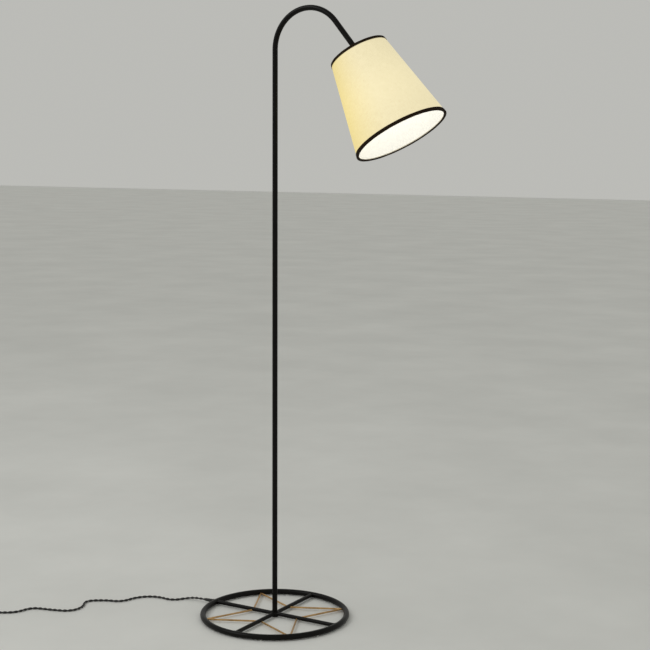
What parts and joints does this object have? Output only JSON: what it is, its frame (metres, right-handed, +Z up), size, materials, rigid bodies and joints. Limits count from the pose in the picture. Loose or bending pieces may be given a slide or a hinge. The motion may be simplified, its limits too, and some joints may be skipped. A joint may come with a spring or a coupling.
{
  "type": "floor lamp",
  "caption": "Arched floor lamp: hoop base with a brass star, slender bent post and a swivelling cream drum-cone shade on a lampholder with a turn switch and a cloth-covered mains flex.",
  "frame": {"origin": "on the floor, under the axis of the straight post", "axes": "+Z up along the post, +X the way the arch leans and the shade points, -X where the flex leaves the hoop"},
  "size_m": [1.1399, 0.692, 1.504],
  "materials": {
    "black_enamel": "satin black enamel",
    "warm_brass": "brushed, lacquered warm brass",
    "zinc_steel": "zinc-plated",
    "holder_brass": "plain rolled brass",
    "black_phenolic": "moulded, low sheen",
    "liner_card": "plain grey-brown fibre",
    "contact_brass": "plain spring brass",
    "opal_glass": "frosted white inside",
    "clear_glass": "clear",
    "vitrite": "black glass insulator",
    "cap_aluminium": "rolled",
    "filament_phosphor": "coated LED filament",
    "cream_cloth": "plain-weave cream shade cloth, translucent",
    "white_lining": "white laminated lining, translucent",
    "brown_tape": "dark brown bias tape",
    "wire_enamel": "painted shade wire",
    "black_flex": "twisted cloth-covered flex",
    "black_rubber": "moulded rubber",
    "clear_pad": "milky soft foot pad"
  },
  "bodies": {
    "stand": {"base_hoop": "black_enamel", "floor_pads": "clear_pad", "hub_boss": "black_enamel", "hub_pad": "clear_pad", "spoke_front": "black_enamel", "spoke_left": "black_enamel", "spoke_right": "black_enamel", "cord_conduit": "black_enamel", "star_point_1": "warm_brass", "star_point_2": "warm_brass", "star_point_3": "warm_brass", "star_point_4": "warm_brass", "post_nipple": "zinc_steel", "post_tube": "black_enamel", "arch_tube": "black_enamel", "post_sleeve": "zinc_steel", "swivel_upper": "black_enamel", "swivel_screw": "zinc_steel", "swivel_washer": "zinc_steel", "swivel_nut": "zinc_steel", "inner_flex": "black_flex", "cord_gland": "black_rubber", "mains_flex": "black_flex", "mains_flex_coil": "black_flex", "mains_flex_tail": "black_flex", "plug_body": "black_rubber", "plug_blades": "contact_brass"},
    "head": {"swivel_lower": "black_enamel", "socket_cap": "holder_brass", "socket_shell": "holder_brass", "socket_liner": "liner_card", "socket_body": "black_phenolic", "terminal_screws": "contact_brass", "screw_shell": "contact_brass", "centre_contact": "contact_brass", "cap_grub_screw": "zinc_steel", "shade_lock_ring": "holder_brass", "bulb_tip": "contact_brass", "bulb_insulator": "vitrite", "bulb_cap": "cap_aluminium", "bulb_globe": "opal_glass", "bulb_stem": "clear_glass", "bulb_filaments": "filament_phosphor", "head_flex": "black_flex"},
    "knob": {"switch_knob": "black_phenolic"},
    "shade": {"shade_frame": "wire_enamel", "shade_bottom_ring": "wire_enamel", "shade_cover": "cream_cloth", "shade_lining": "white_lining", "top_binding": "brown_tape", "bottom_binding": "brown_tape"}
  },
  "joints": [
    {"name": "head_tilt", "type": "hinge", "parent": "stand", "child": "head", "pos_m": [0.22924, 0, 1.38944], "axis": [0, 1, 0], "range_deg": [-48, 31]},
    {"name": "shade_turn", "type": "hinge", "parent": "head", "child": "shade", "pos_m": [0.22924, 0, 1.38944], "axis": [0.5188, 0, -0.8549], "range_deg": [-40, 40]},
    {"name": "switch_turn", "type": "hinge", "parent": "head", "child": "knob", "pos_m": [0.25518, 0, 1.34669], "axis": [0, 1, 0], "continuous": true}
  ]
}
